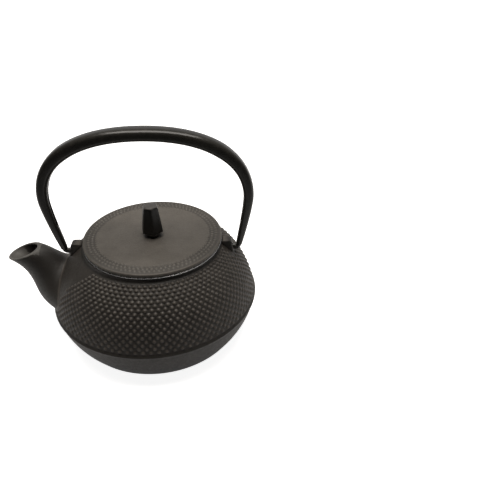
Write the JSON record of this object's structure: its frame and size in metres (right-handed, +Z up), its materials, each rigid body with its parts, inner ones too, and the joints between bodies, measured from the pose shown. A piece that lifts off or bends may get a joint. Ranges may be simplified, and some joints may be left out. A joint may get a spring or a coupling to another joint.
{
  "type": "cast iron teapot",
  "caption": "Round hobnailed cast iron teapot with a short spout, loose flat lid with a knob, swinging bail handle and a lift-out mesh infuser.",
  "frame": {"origin": "centre of the flat base, on the surface the pot stands on", "axes": "+Z up; the spout points along -X; the handle swings about an axis parallel to X through both lugs; +X and -X are the lug sides, and the part is mirror symmetric about the XZ plane but for the turn of the lid's knob"},
  "size_m": [0.1727, 0.1456, 0.1524],
  "materials": {
    "cast_iron": "matt",
    "black_enamel": "gloss",
    "stainless": "satin",
    "steel_mesh": "satin"
  },
  "bodies": {
    "pot": {"pot_body": "cast_iron"},
    "handle": {"bail_handle": "black_enamel"},
    "infuser": {"infuser_rim": "stainless", "infuser_side_mesh": "steel_mesh", "infuser_bottom_ring": "stainless", "infuser_bottom_mesh": "steel_mesh"},
    "lid": {"lid": "cast_iron", "lid_knob": "black_enamel", "knob_washer": "stainless"}
  },
  "joints": [
    {"name": "handle_swing", "type": "hinge", "parent": "pot", "child": "handle", "pos_m": [0, 0, 0.06345], "axis": [1, 0, 0], "range_deg": [-110, 110]},
    {"name": "infuser_lift", "type": "slide", "parent": "pot", "child": "infuser", "axis": [0, 0, 1], "range_m": [0, 0.045]},
    {"name": "lid_lift", "type": "slide", "parent": "infuser", "child": "lid", "axis": [0, 0, 1], "range_m": [0, 0.045]}
  ]
}
